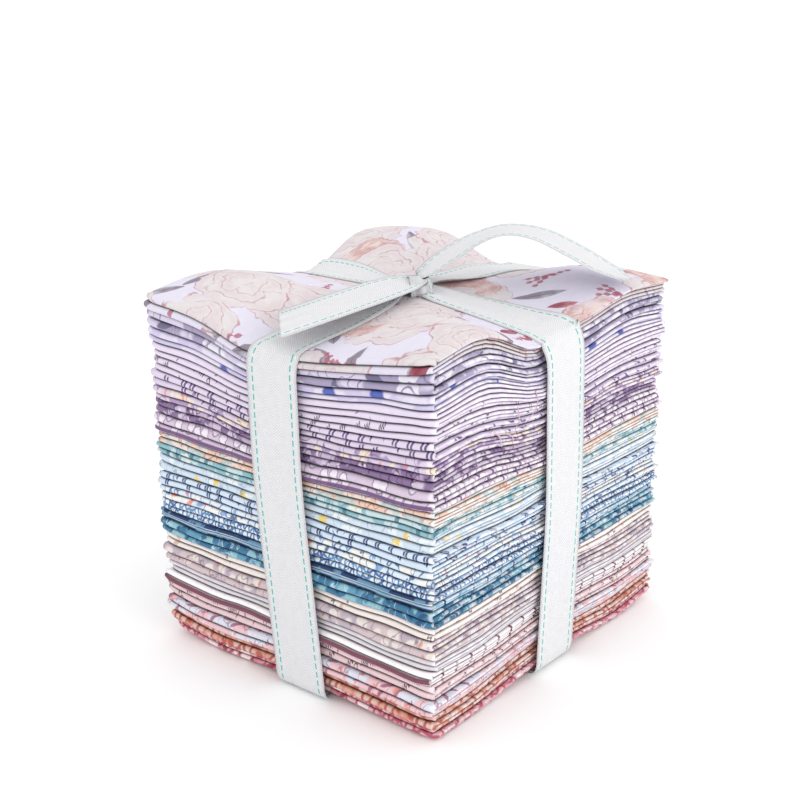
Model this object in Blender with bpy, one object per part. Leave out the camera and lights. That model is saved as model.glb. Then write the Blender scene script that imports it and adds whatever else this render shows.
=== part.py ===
"""A stack of folded fat quarters, tied crosswise with one twill ribbon.

Each fat quarter is one cloth folded back and forth into four strips. The folds face
the front (-Y), and the strips' side edges face right (+X) and left (-X).
The ribbon crosses under the stack, runs up the middle of each side and is knotted on
top, where its two tails lie loose. Lengths are in metres, with +Z up.
"""

import math

import bmesh
import bpy

MM = 0.001

# Driving sizes of the stack
STACK_WIDTH = 0.1410
STACK_DEPTH = 0.1560
STACK_HEIGHT = 0.1424
STRIPS_PER_CLOTH = 4

# Cloth
LAYER_GAP = 0.00042
STRIP_EDGE_STEP = 0.0005
FOLD_STEP = 0.0006
FOLD_CORNER = math.radians(30.0)

# Ribbon
RIBBON_WIDTH = 0.0250
RIBBON_THICKNESS = 0.0010
RIBBON_CENTRE_X = 0.0035
RIBBON_BASE_Z = RIBBON_THICKNESS / 2
KNOT_SEAT_WIDTH = 0.0100
KNOT_SEAT_Z = 0.1480
KNOT_CENTRE = (0.0020, -0.0020, 0.1500)
KNOT_RADII = (0.0085, 0.0080, 0.0050)
KNOT_SEGMENTS = 14
KNOT_RINGS = 8
KNOT_PLEATS = 5
KNOT_PLEAT_DEPTH = 0.08

# One row per cloth, from the bottom up: its name, its main colour, and in millimetres
# how far it is shifted right and back, and how much wider and deeper it is than the stack.
CLOTHS = (
    # name, colour, right, back, wider, deeper
    ("rose_sprig", (0.72, 0.43, 0.47), 0.3, 0.5, -1.2, -1.6),
    ("peach_floral", (0.80, 0.60, 0.53), -0.3, 0.2, -0.2, -0.4),
    ("pink_sprig", (0.86, 0.74, 0.78), 0.4, -0.3, 0.2, 0.4),
    ("pink_mark", (0.85, 0.77, 0.79), 0.2, 0.3, 0.6, -0.2),
    ("burgundy_stripe", (0.78, 0.66, 0.70), -0.4, -0.2, 0.4, 0.4),
    ("pale_grey", (0.86, 0.85, 0.86), -0.2, 0.6, -0.8, -0.8),
    ("mauve_floral", (0.74, 0.68, 0.68), 0.0, 0.0, 0.4, 0.8),
    ("cream_mark", (0.83, 0.80, 0.77), 0.5, 0.4, -0.6, -0.4),
    ("teal_mottle", (0.38, 0.56, 0.68), -0.3, -0.3, 0.6, 1.0),
    ("navy_stripe", (0.32, 0.42, 0.60), -0.6, 0.1, 0.4, 0.2),
    ("blue_net", (0.54, 0.67, 0.82), 0.1, 0.2, 0.0, 0.0),
    ("blue_scroll", (0.76, 0.81, 0.88), 0.5, -0.4, 0.2, 0.6),
    ("blue_sprig", (0.64, 0.74, 0.88), 0.3, -0.2, 0.2, 0.4),
    ("blue_spot", (0.68, 0.76, 0.90), -0.2, 0.2, 0.2, 0.0),
    ("aqua_floral", (0.62, 0.74, 0.80), -0.4, 0.0, 0.6, 0.6),
    ("peach_bloom", (0.85, 0.79, 0.77), 0.2, 0.5, -0.6, -0.6),
    ("plum_stripe", (0.66, 0.56, 0.68), 0.1, -0.2, 0.6, 0.8),
    ("plum_floral", (0.58, 0.49, 0.62), -0.5, 0.3, -0.2, -0.2),
    ("lilac_scroll", (0.76, 0.71, 0.82), 0.4, -0.2, -0.4, 0.4),
    ("lilac_sprig", (0.76, 0.71, 0.84), -0.2, 0.0, 0.4, 0.2),
    ("lilac_mark", (0.79, 0.74, 0.86), 0.1, 0.3, -0.2, -0.4),
    ("lilac_dot", (0.80, 0.75, 0.87), 0.4, 0.2, 0.2, 0.0),
    ("lilac_blot", (0.80, 0.76, 0.88), -0.4, -0.1, 0.6, 0.4),
    ("lavender_floral", (0.70, 0.67, 0.76), -0.2, 0.4, 0.4, 0.2),
    ("cream_floral", (0.86, 0.82, 0.81), 0.2, -0.3, 0.8, 0.8),
)

# Height of the top face over the plain stack, and lift of the bottom face over the
# floor, in millimetres. Rows run from front to back and columns from left to right, at
# the edges, the quarters and the middle. The ribbon draws in the middle of each edge.
TOP_RELIEF = (
    (2.5, 0.5, -12.0, -5.0, 0.0),
    (5.0, 6.0, -3.0, 3.0, 1.5),
    (-7.0, 1.0, 2.5, -0.5, -12.0),
    (6.0, 8.5, 1.5, 5.5, 3.5),
    (6.0, 7.0, -8.0, 2.0, -0.5),
)
BOTTOM_RELIEF = (
    (4.0, 0.8, 3.2, 2.4, 0.8),
    (1.2, 0.0, 2.6, 0.0, 0.8),
    (4.0, 2.8, 2.8, 2.8, 5.0),
    (1.5, 0.0, 2.6, 0.0, 0.8),
    (4.0, 1.8, 4.2, 1.8, 3.6),
)
RELIEF_SPANS = 4
TOP_RELIEF_FROM = 0.50
BOTTOM_RELIEF_TO = 0.42
RELIEF_POWER = 1.25

# Middle line of each ribbon arm, from under the stack to the knot, in millimetres,
# and the ribbon's width there.
FRONT_ARM = (
    # x, y, z, width
    (5.0, -40.0, 0.5, 25.0),
    (7.5, -72.0, 0.7, 25.0),
    (8.0, -77.5, 1.0, 25.0),
    (8.2, -80.4, 2.8, 25.0),
    (8.2, -80.7, 7.0, 25.0),
    (4.0, -80.7, 45.0, 25.0),
    (0.0, -80.7, 85.0, 25.0),
    (-1.2, -80.7, 122.0, 25.0),
    (-1.3, -80.6, 132.0, 25.0),
    (-1.3, -79.9, 135.6, 25.0),
    (-1.3, -77.8, 137.4, 25.0),
    (-1.2, -73.5, 138.6, 25.0),
    (-0.8, -50.0, 142.4, 24.0),
    (-0.2, -26.0, 145.6, 18.0),
    (0.0, -12.0, 147.5, 12.0),
)
RIGHT_ARM = (
    # x, y, z, width
    (36.0, -0.5, 0.5, 25.0),
    (63.0, -1.2, 1.0, 25.0),
    (69.5, -1.4, 2.0, 25.0),
    (72.5, -1.6, 4.5, 25.0),
    (73.2, -1.6, 9.0, 25.0),
    (73.2, 0.4, 41.0, 25.0),
    (73.2, 2.0, 70.0, 25.0),
    (73.2, 1.1, 112.0, 25.0),
    (73.1, 0.6, 132.0, 25.0),
    (72.6, 0.4, 136.0, 25.0),
    (70.6, 0.3, 138.2, 25.0),
    (66.0, 0.2, 139.8, 25.0),
    (45.0, -0.4, 143.9, 24.0),
    (25.0, -0.8, 146.2, 18.0),
    (12.0, -0.5, 147.6, 12.0),
)
BACK_ARM = (
    # x, y, z, width
    (2.5, 40.0, 0.5, 25.0),
    (3.5, 71.0, 0.9, 25.0),
    (4.0, 77.2, 1.6, 25.0),
    (4.2, 80.4, 4.0, 25.0),
    (4.2, 80.7, 8.0, 25.0),
    (4.5, 80.7, 70.0, 25.0),
    (5.5, 80.7, 128.0, 25.0),
    (5.8, 80.0, 138.5, 25.0),
    (5.8, 76.8, 142.8, 25.0),
    (5.0, 68.0, 144.8, 25.0),
    (3.5, 46.0, 146.2, 23.0),
    (1.5, 24.0, 147.2, 18.0),
    (0.3, 11.0, 147.8, 12.0),
)
LEFT_ARM = (
    # x, y, z, width
    (-36.0, 0.5, 0.5, 25.0),
    (-62.0, 1.5, 0.9, 25.0),
    (-69.0, 1.8, 1.6, 25.0),
    (-72.4, 2.0, 3.8, 25.0),
    (-73.1, 2.0, 8.0, 25.0),
    (-73.1, 4.0, 70.0, 25.0),
    (-73.1, 7.0, 126.0, 25.0),
    (-72.9, 8.0, 139.4, 25.0),
    (-71.6, 8.0, 143.2, 25.0),
    (-68.0, 8.0, 144.7, 25.0),
    (-58.0, 7.5, 145.4, 25.0),
    (-44.0, 6.0, 147.0, 23.0),
    (-24.0, 2.5, 147.7, 18.0),
    (-11.0, 0.5, 148.0, 12.0),
)

# Middle line of each tail, from inside the knot to its cut end, in millimetres.
# The turn is the angle of the ribbon's width from +X, and the skew is how far the
# left edge runs ahead of the middle line there.
FRONT_TAIL = (
    # x, y, z, width, turn, skew
    (1.0, -4.0, 150.5, 7.0, 0.0, 0.0),
    (0.5, -14.0, 151.5, 14.0, 0.0, 0.0),
    (0.0, -28.0, 151.0, 22.0, 0.0, 0.0),
    (0.0, -46.0, 149.4, 25.0, 0.0, 0.0),
    (0.0, -62.0, 147.8, 25.0, 0.0, 6.0),
    (0.0, -76.0, 146.0, 25.0, 0.0, 12.0),
)
BACK_TAIL = (
    # x, y, z, width, turn, skew
    (4.0, 0.0, 150.5, 7.0, 150.0, 0.0),
    (10.0, 8.0, 156.0, 12.0, 146.0, 0.0),
    (17.0, 17.0, 163.0, 19.0, 140.0, 0.0),
    (27.0, 25.0, 166.5, 24.0, 124.0, 0.0),
    (39.0, 31.0, 165.0, 25.0, 114.0, 0.0),
    (52.0, 36.5, 159.0, 25.0, 111.0, 2.0),
    (63.0, 40.5, 153.0, 22.0, 110.0, 4.0),
    (71.5, 43.5, 148.8, 8.0, 110.0, 2.0),
)

RIBBON_COLOUR = (0.88, 0.88, 0.89)
CLOTH_ROUGHNESS = 0.90
RIBBON_ROUGHNESS = 0.70

CLOTH_HEIGHT = STACK_HEIGHT / len(CLOTHS)
STRIP_PITCH = CLOTH_HEIGHT / STRIPS_PER_CLOTH
STRIP_THICKNESS = STRIP_PITCH - LAYER_GAP
FOLD_RADIUS = (STRIP_PITCH + STRIP_THICKNESS) / 2


def clear_scene():
    """Remove what the new file starts with."""
    for scene_object in list(bpy.context.scene.objects):
        bpy.data.objects.remove(scene_object, do_unlink=True)


def cloth_material(name, colour, roughness):
    """Make a plain material of one colour."""
    material = bpy.data.materials.new(name)
    material.use_nodes = True
    shader = material.node_tree.nodes["Principled BSDF"]
    shader.inputs["Base Color"].default_value = (*colour, 1.0)
    shader.inputs["Roughness"].default_value = roughness
    shader.inputs["Metallic"].default_value = 0.0
    return material


def add_object(name, mesh_builder, material):
    """Turn a bmesh into an object with one material."""
    mesh = bpy.data.meshes.new(name)
    mesh_builder.to_mesh(mesh)
    mesh_builder.free()
    mesh.materials.append(material)
    new_object = bpy.data.objects.new(name, mesh)
    bpy.context.scene.collection.objects.link(new_object)
    return new_object


def grid_place(value, full_size):
    """Give the relief column or row that holds a coordinate, and the share across it."""
    steps = (value / full_size + 0.5) * RELIEF_SPANS
    index = min(max(int(math.floor(steps)), 0), RELIEF_SPANS - 1)
    return index, steps - index


def relief_at(table, x, y):
    """Read a relief table between its points, each cell as two flat triangles."""
    column, across = grid_place(x, STACK_WIDTH)
    row, along = grid_place(y, STACK_DEPTH)
    front_left = table[row][column]
    front_right = table[row][column + 1]
    back_left = table[row + 1][column]
    back_right = table[row + 1][column + 1]
    if across >= along:
        height = front_left + (front_right - front_left) * across + (back_right - front_right) * along
    else:
        height = front_left + (back_left - front_left) * along + (back_right - back_left) * across
    return height * MM


def draped_height(x, y, z):
    """Move a height in the plain stack to where the tied stack has it."""
    level = z / STACK_HEIGHT
    top_share = max(0.0, (level - TOP_RELIEF_FROM) / (1.0 - TOP_RELIEF_FROM)) ** RELIEF_POWER
    bottom_share = max(0.0, 1.0 - level / BOTTOM_RELIEF_TO) ** RELIEF_POWER
    return z + relief_at(TOP_RELIEF, x, y) * top_share + relief_at(BOTTOM_RELIEF, x, y) * bottom_share


def fold_reach(cloth_index, fold_index):
    """Give how far one fold stands out from its neighbours."""
    return FOLD_STEP * math.sin(2.3 * cloth_index + 1.9 * fold_index)


def edge_reach(cloth_index, strip_level):
    """Give how far one strip's side edge stands out from its neighbours."""
    return STRIP_EDGE_STEP * math.sin(1.7 * cloth_index + 2.1 * strip_level)


def strip_line(front, back, height, backwards):
    """Give the section points along one face of a strip."""
    inner_stations = [STACK_DEPTH * share for share in (-0.25, 0.0, 0.25)]
    stations = [front, *inner_stations, back]
    if backwards:
        stations.reverse()
    return [(y, height) for y in stations]


def outer_fold(y_centre, z_centre, outward, downward):
    """Give the two points that round the outside of a fold."""
    angles = (FOLD_CORNER, -FOLD_CORNER)
    if not downward:
        angles = angles[::-1]
    points = []
    for angle in angles:
        y = y_centre + outward * FOLD_RADIUS * math.cos(angle)
        points.append((y, z_centre + FOLD_RADIUS * math.sin(angle)))
    return points


def cloth_section(cloth_index, shift_back, deeper):
    """Give the outline of one back-and-forth folded cloth in the Y-Z plane."""
    base = cloth_index * CLOTH_HEIGHT + LAYER_GAP / 2 + STRIP_THICKNESS / 2
    middle = [base + level * STRIP_PITCH for level in range(STRIPS_PER_CLOTH)]
    half = STRIP_THICKNESS / 2
    front_limit = -(STACK_DEPTH + deeper) / 2 + shift_back + FOLD_RADIUS
    back_limit = (STACK_DEPTH + deeper) / 2 + shift_back - FOLD_RADIUS
    low_front = front_limit + fold_reach(cloth_index, 0)
    high_front = front_limit + fold_reach(cloth_index, 1)
    back_fold = back_limit + fold_reach(cloth_index, 2)
    low_end = back_limit + fold_reach(cloth_index, 3)
    high_end = back_limit + fold_reach(cloth_index, 4)
    low_centre = (middle[0] + middle[1]) / 2
    back_centre = (middle[1] + middle[2]) / 2
    high_centre = (middle[2] + middle[3]) / 2
    points = strip_line(high_front, high_end, middle[3] + half, True)
    points += outer_fold(high_front, high_centre, -1, True)
    points += strip_line(high_front, back_fold, middle[2] - half, False)
    points += strip_line(low_front, back_fold, middle[1] + half, True)
    points += outer_fold(low_front, low_centre, -1, True)
    points += strip_line(low_front, low_end, middle[0] - half, False)
    points += strip_line(low_front, low_end, middle[0] + half, True)
    points += strip_line(low_front, back_fold, middle[1] - half, False)
    points += outer_fold(back_fold, back_centre, 1, False)
    points += strip_line(high_front, back_fold, middle[2] + half, True)
    points += strip_line(high_front, high_end, middle[3] - half, False)
    return points


def split_wall(mesh_builder, near, far):
    """Close one four-sided wall piece with its diagonal running front left to back right."""
    first, second = near
    third, fourth = far
    if first.co.y <= second.co.y:
        mesh_builder.faces.new((first, second, fourth))
        mesh_builder.faces.new((first, fourth, third))
    else:
        mesh_builder.faces.new((first, second, third))
        mesh_builder.faces.new((second, fourth, third))


def build_cloth(cloth_index, row):
    """Sweep the folded section from left to right and drape it."""
    name, colour, right, back, wider, deeper = row
    section = cloth_section(cloth_index, back * MM, deeper * MM)
    half_width = (STACK_WIDTH + wider * MM) / 2
    left_edge = right * MM - half_width
    right_edge = right * MM + half_width
    stations = [left_edge, -STACK_WIDTH / 4, 0.0, STACK_WIDTH / 4, right_edge]
    mesh_builder = bmesh.new()
    rings = []
    for station_index, station in enumerate(stations):
        ring = []
        for y, z in section:
            x = station
            if station_index in (0, len(stations) - 1):
                x += edge_reach(cloth_index, z / STRIP_PITCH)
            ring.append(mesh_builder.verts.new((x, y, draped_height(x, y, z))))
        rings.append(ring)
    for near_ring, far_ring in zip(rings, rings[1:]):
        for index in range(len(section)):
            after = (index + 1) % len(section)
            near = (near_ring[index], near_ring[after])
            far = (far_ring[index], far_ring[after])
            split_wall(mesh_builder, near, far)
    mesh_builder.faces.new(rings[0])
    mesh_builder.faces.new(rings[-1])
    bmesh.ops.recalc_face_normals(mesh_builder, faces=mesh_builder.faces[:])
    material = cloth_material(name, colour, CLOTH_ROUGHNESS)
    return add_object(f"fat_quarter_{cloth_index + 1:02d}_{name}", mesh_builder, material)


def band_row(mesh_builder, centre, width, direction):
    """Add the three points across the ribbon at one place."""
    x, y, z = centre
    row = []
    for side in (-0.5, 0.0, 0.5):
        point = (x + side * width * direction[0], y + side * width * direction[1], z)
        row.append(mesh_builder.verts.new(point))
    return row


def join_rows(mesh_builder, first, second):
    """Fill between two rows of points across the ribbon."""
    for index in range(len(first) - 1):
        corners = (first[index], first[index + 1], second[index + 1], second[index])
        mesh_builder.faces.new(corners)


def add_seat(mesh_builder, centre_x, centre_y, z, width):
    """Add the square where the four arms meet, as a three by three grid of points."""
    grid = []
    for row_share in (-0.5, 0.0, 0.5):
        row = []
        for column_share in (-0.5, 0.0, 0.5):
            point = (centre_x + column_share * width, centre_y + row_share * width, z)
            row.append(mesh_builder.verts.new(point))
        grid.append(row)
    for near, far in zip(grid, grid[1:]):
        join_rows(mesh_builder, near, far)
    return grid


def seat_sides(grid):
    """Give the points along each side of a seat, in the order that its arm uses."""
    front = grid[0]
    back = grid[-1]
    left = [row[0] for row in grid]
    right = [row[-1] for row in grid]
    return {"front": front, "back": back, "left": left, "right": right}


def add_arm(mesh_builder, table, direction, base_side, knot_side):
    """Run one arm of the ribbon from the seat under the stack to the one on top."""
    previous = base_side
    for x, y, z, width in table:
        row = band_row(mesh_builder, (x * MM, y * MM, z * MM), width * MM, direction)
        join_rows(mesh_builder, previous, row)
        previous = row
    join_rows(mesh_builder, previous, knot_side)


def add_thickness(band):
    """Give a band its thickness, evenly to both sides."""
    modifier = band.modifiers.new("thickness", "SOLIDIFY")
    modifier.thickness = RIBBON_THICKNESS
    modifier.offset = 0.0
    modifier.use_even_offset = True


def build_loops(material):
    """Make the two crossed loops of the ribbon as one band."""
    mesh_builder = bmesh.new()
    base = add_seat(mesh_builder, RIBBON_CENTRE_X, 0.0, RIBBON_BASE_Z, RIBBON_WIDTH)
    knot = add_seat(mesh_builder, 0.0, 0.0, KNOT_SEAT_Z, KNOT_SEAT_WIDTH)
    base_sides = seat_sides(base)
    knot_sides = seat_sides(knot)
    along_x = (1.0, 0.0)
    along_y = (0.0, 1.0)
    add_arm(mesh_builder, FRONT_ARM, along_x, base_sides["front"], knot_sides["front"])
    add_arm(mesh_builder, BACK_ARM, along_x, base_sides["back"], knot_sides["back"])
    add_arm(mesh_builder, LEFT_ARM, along_y, base_sides["left"], knot_sides["left"])
    add_arm(mesh_builder, RIGHT_ARM, along_y, base_sides["right"], knot_sides["right"])
    bmesh.ops.recalc_face_normals(mesh_builder, faces=mesh_builder.faces[:])
    loops = add_object("ribbon", mesh_builder, material)
    add_thickness(loops)
    return loops


def build_knot(material):
    """Make the knot as a flattened lump with shallow pleats."""
    mesh_builder = bmesh.new()
    bmesh.ops.create_uvsphere(
        mesh_builder, u_segments=KNOT_SEGMENTS, v_segments=KNOT_RINGS, radius=1.0
    )
    for vertex in mesh_builder.verts:
        angle = math.atan2(vertex.co.y, vertex.co.x)
        swell = 1.0 + KNOT_PLEAT_DEPTH * math.sin(KNOT_PLEATS * angle)
        vertex.co.x = KNOT_CENTRE[0] + vertex.co.x * swell * KNOT_RADII[0]
        vertex.co.y = KNOT_CENTRE[1] + vertex.co.y * swell * KNOT_RADII[1]
        vertex.co.z = KNOT_CENTRE[2] + vertex.co.z * KNOT_RADII[2]
    return add_object("knot_form", mesh_builder, material)


def build_tail(name, table, material):
    """Make one tail as a band whose width turns along its way."""
    mesh_builder = bmesh.new()
    rows = []
    for x, y, z, width, turn, skew in table:
        angle = math.radians(turn)
        direction = (math.cos(angle), math.sin(angle))
        row = band_row(mesh_builder, (x * MM, y * MM, z * MM), width * MM, direction)
        for vertex, side in zip(row, (-1.0, 0.0, 1.0)):
            vertex.co.x += side * skew * MM * direction[1]
            vertex.co.y -= side * skew * MM * direction[0]
        rows.append(row)
    for first, second in zip(rows, rows[1:]):
        join_rows(mesh_builder, first, second)
    bmesh.ops.recalc_face_normals(mesh_builder, faces=mesh_builder.faces[:])
    tail = add_object(name, mesh_builder, material)
    add_thickness(tail)
    return tail


def merge_into(body, form):
    """Join a helper form to a body, and keep the helper as a guide only."""
    modifier = body.modifiers.new(form.name, "BOOLEAN")
    modifier.operation = "UNION"
    modifier.solver = "EXACT"
    modifier.object = form
    form.hide_render = True
    form.display_type = "WIRE"


def build_ribbon():
    """Tie the ribbon: its loops, its knot and its two tails are one piece."""
    material = cloth_material("white_twill_ribbon", RIBBON_COLOUR, RIBBON_ROUGHNESS)
    ribbon = build_loops(material)
    merge_into(ribbon, build_knot(material))
    merge_into(ribbon, build_tail("front_tail_form", FRONT_TAIL, material))
    merge_into(ribbon, build_tail("back_tail_form", BACK_TAIL, material))
    return ribbon


def build_stack():
    """Build every cloth, then the ribbon around them."""
    clear_scene()
    for cloth_index, row in enumerate(CLOTHS):
        build_cloth(cloth_index, row)
    build_ribbon()


build_stack()
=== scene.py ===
"""Looks of a tied stack of folded fat quarters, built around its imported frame.

Every cloth is its real thin sheet: folded in three from the sides, then back and forth
into four strips. The ribbon is a thin twill tape. Lengths are in metres, +Z is up, and
the print patterns are worked out in millimetres of flat cloth.
"""

import math

import bpy
import numpy as np
from mathutils import Matrix, Vector


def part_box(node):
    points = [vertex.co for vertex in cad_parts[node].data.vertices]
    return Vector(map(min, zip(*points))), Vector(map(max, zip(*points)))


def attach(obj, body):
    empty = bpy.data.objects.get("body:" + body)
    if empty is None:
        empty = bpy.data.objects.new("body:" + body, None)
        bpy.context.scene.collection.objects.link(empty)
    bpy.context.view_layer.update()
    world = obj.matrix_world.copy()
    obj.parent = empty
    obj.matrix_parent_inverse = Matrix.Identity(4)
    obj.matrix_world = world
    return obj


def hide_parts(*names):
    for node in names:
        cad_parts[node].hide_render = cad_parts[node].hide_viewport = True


MM = 0.001

# Stack
STACK_WIDTH = 0.141
STACK_DEPTH = 0.156
STACK_HEIGHT = 0.1424
STRIPS = 4

# Height of the top of each cloth in the plain stack, from the bottom up, in millimetres
CLOTH_TOPS = (
    4.8, 10.4, 16.4, 22.6, 27.4, 32.2, 39.8, 45.4, 51.4, 55.8, 61.6, 67.0, 72.4,
    79.2, 84.2, 89.0, 96.2, 102.6, 107.4, 113.2, 119.0, 125.0, 130.4, 138.0, 143.8,
)

# Cloth sheet. From the cloth FINE_FROM up, its steps are FINE_SHARE times as fine.
SHEET_THICKNESS = 0.00028
PLY_SHARE = 0.32
STRIP_STEPS = 18
WIDTH_STEPS = 24
FINE_FROM = 21
FINE_SHARE = 1.5
END_CROWDING = 0.6
FOLD_STEPS = 6
PLY_FOLD_STEPS = 4
SIDE_MARGIN = 0.0012
STRIP_STAGGER = 0.0011
FOLD_STAGGER = 0.0014
EDGE_WAVE = 0.0004
EDGE_WAVE_REACH = 0.013
SPLIT_SPREAD = 0.07
CORNER_REACH = 0.006
CORNER_ROUNDING = (0.0006, 0.0024)
SQUASH_DEPTH = 0.16
SQUASH_REACH = 0.016
SQUASH_LENGTH = 0.09
NOISE_WAVES = 3
NOISE_QUICKER = 0.7
NOISE_RANGE = 5.0
SEED = 11

# Loose threads of the cut edges on the right, each being points y and z with how far
# they stand off the face, in millimetres
THREAD_CLOTH = 18
THREAD_RADIUS = 0.0002
THREAD_SIDES = 5
THREAD_STEPS = 17
THREADS = (
    (
        (-44.5, 110.5, 0.2), (-43, 109, 1.2), (-41.6, 107.6, 1.6),
        (-40.6, 105.6, 1.3), (-40.4, 103.8, 1.5),
    ),
    (
        (-29, 115.2, 0.2), (-29.6, 112.6, 1.3), (-30.2, 110.2, 1.7),
        (-31.8, 108.6, 1.5), (-32.6, 106.2, 1.8),
    ),
    (
        (-17.6, 118.4, 0.2), (-18, 115.6, 1.4), (-19.6, 112.6, 1.8),
        (-22.4, 110.4, 1.6), (-25, 109.2, 1.9),
    ),
    ((-36, 107, 0.2), (-34.6, 106.4, 1.1), (-33.4, 104.8, 1.5), (-33.8, 103, 1.6)),
)

# Ribbon tape. It lies TAPE_CLEARANCE over the top cloth, up to RIM_COVER past its rim.
TAPE_WIDTH = 0.025
TAPE_THICKNESS = 0.00035
TAPE_ACROSS = 10
TAPE_STEP = 1.1
LINE_STEPS = 60
TOP_FROM = 0.9
TAPE_CLEARANCE = 0.0003
RIM_COVER = 0.0016
PLEATS = 2
HEART_PLACE = (4.6, -2.4, 145.6)
HEART_RADII = (6.0, 5.5, 2.6)
HEART_CREASE = 0.06
HEART_CREASES = 7
HEART_RINGS = 12
HEART_SPOKES = 24
HEART_FLAT = (0.004, 0.002)

# Tape stretches, each station being x, y, z, width, pleat, tilt, skew and turn, without
# the zeros at its end
STATION_SIZE = 8
LOOP_FRONT_TO_BACK = (
    (0.5, -5, 145, 9, 0.7),
    (0, -12, 144.4, 12.5, 0.7),
    (-0.3, -24, 142.2, 20.5, 0.4),
    (-0.7, -40, 139.4, 24.5, 0.1),
    (-1, -56, 137.4, 25),
    (-1.2, -68, 135.8, 25),
    (-1.3, -74.5, 135.4, 25),
    (-1.3, -78.2, 133, 25),
    (-1.3, -79.6, 129, 25),
    (-1.1, -79.8, 120, 25),
    (0, -79.8, 85, 25),
    (4, -79.8, 45, 25),
    (7.8, -79.8, 10, 25),
    (8.2, -79.5, 4.2, 25),
    (8.2, -77.8, 1.4, 25),
    (8, -73, 0.4, 25),
    (5, -40, 0.3, 25),
    (2.5, 40, 0.3, 25),
    (4, 73, 0.4, 25),
    (4.2, 78.3, 1.6, 25),
    (4.2, 79.8, 5, 25),
    (4.2, 80, 12, 25),
    (4.5, 80, 70, 25),
    (5.5, 80, 128, 25),
    (5.8, 79.6, 136, 25),
    (5.8, 77.5, 140, 25),
    (5.5, 71, 140.6, 25),
    (4.8, 58, 142.4, 24.5, 0.1),
    (3.6, 42, 143.6, 23, 0.3),
    (2.2, 24, 144.2, 18, 0.6),
    (1.2, 11, 145.4, 12, 0.7),
    (1, 4, 145, 9, 0.7),
)
LOOP_LEFT_TO_RIGHT = (
    (-4, 0.5, 145.4, 9, 0.7),
    (-11, 1.8, 144.9, 12, 0.7),
    (-24, 5, 143.2, 18, 0.5),
    (-40, 8.6, 142.2, 23.5, 0.2),
    (-55, 11, 141.2, 25),
    (-65, 12, 140, 25),
    (-69.8, 12, 139, 25),
    (-72.2, 12, 135, 25),
    (-72.6, 11, 126, 25),
    (-72.6, 5, 70, 25),
    (-72.6, 2.2, 12, 25),
    (-72.3, 2, 5, 25),
    (-70.8, 1.8, 2, 25),
    (-66, 1.5, 0.9, 25),
    (-36, 0.5, 0.8, 25),
    (36, -0.5, 0.8, 25),
    (66, -1.3, 0.9, 25),
    (70.7, -1.5, 1.9, 25),
    (72.2, -1.6, 5, 25),
    (72.5, -1.6, 10, 25),
    (72.5, 0.4, 41, 25),
    (72.5, 2, 70, 25),
    (72.5, 1.1, 112, 25),
    (72.4, 0.7, 126.5, 25, 0, 4),
    (71.2, 0.4, 132.8, 25, 0, 8),
    (68.2, 0.3, 136.2, 25, 0, 8),
    (62, 0.2, 137.5, 25, 0, 7),
    (52, 0, 139.1, 25, 0, 4),
    (40, -0.4, 140.4, 24.5, 0.1, 2),
    (26, -1.2, 142.2, 22, 0.3),
    (14, -1.8, 144.2, 17.5, 0.5),
    (7, -1.4, 145.2, 11, 0.7),
)
FRONT_TAIL = (
    (6, 0.5, 147.8, 10, 0.8, 0, 0, -20),
    (3.2, -5, 147.9, 17, 0.4, 0, 0, -8),
    (1.4, -13, 147.4, 23, 0.1),
    (0.4, -26, 146.4, 25),
    (0, -44, 145.4, 25),
    (0, -60, 144.7, 25, 0, 0, 5),
    (0, -76, 144.1, 25, 0, 0, 12.5),
)
BACK_TAIL = (
    (4, -2, 148.8, 9, 0.8, 8, 0, 137),
    (6, 3, 151.8, 14, 0.4, 10, 0, 137),
    (11, 10.5, 157.2, 19, 0, 6, 0, 137),
    (18, 18.5, 163, 23, 0, 0, 0, 134),
    (27, 25, 166.3, 25, 0, 0, 0, 124),
    (39, 31, 165, 25, 0, 0, 0, 114),
    (52, 36.5, 159, 25, 0, 0, 2, 111),
    (63, 40.5, 153, 22, 0, 0, 4, 110),
    (71.5, 43.5, 148.8, 8, 0, 0, 2, 110),
)
KNOT_WRAP = (
    (-1, 4, 145.4, 8, 0.3),
    (1.6, 1.2, 148, 8, 0.3),
    (5.2, -3, 149.3, 8, 0.3),
    (8.6, -6.2, 148.6, 8, 0.4),
    (11.2, -8.4, 146.2, 8.5, 0.5),
    (11.8, -8.8, 143.4, 9, 0.5),
    (9, -6, 142.4, 9, 0.4),
    (5, -2, 142.2, 9, 0.3),
)

# Relief of the top face over the plain stack and of the bottom face over the floor, in
# millimetres. Rows run from front to back and columns from left to right, both at the
# places in RELIEF_PLACES, which are shares of the half width and half depth.
RELIEF_PLACES = (-1.0, -0.6, -0.2, 0.2, 0.6, 1.0)
TOP_RELIEF = (
    (2.5, -1, -9, -7.8, -3.9, 0.6),
    (5.8, 7, -4, -4.4, 4.3, 3.2),
    (1, 0.6, -1, -0.8, -3.2, -7.8),
    (-3.2, -1.4, -1, -0.8, -3, -3.6),
    (8, 9, 0.6, 0.4, 5, 1.8),
    (6.3, 6.8, -3.8, -5, 1.6, 0.8),
)
BOTTOM_RELIEF = (
    (4, 0.6, 1.6, 2.6, 1.6, 0.8),
    (0.8, 0.2, 1.8, 1.8, 0.2, 0.4),
    (1.6, 1.8, 2, 2, 1.8, 4),
    (1.8, 1.8, 2, 2, 1.8, 3.8),
    (0.8, 0.2, 1.8, 1.8, 0.2, 0.4),
    (4, 0.8, 2.6, 2.6, 0.8, 3.6),
)
TOP_RELIEF_FROM = 0.5
BOTTOM_RELIEF_TO = 0.42
RELIEF_POWER = 1.25
RELIEF_MOST = 1.05
EDGE_DROOP = 0.0012
EDGE_DROOP_REACH = 0.006
EDGE_DROOP_RAMP = 12
WAVE_RAMP = 8
PINCH_SHARE = 0.052
PINCH_REACH = 0.017
PINCH_FROM = 0.86
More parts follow.
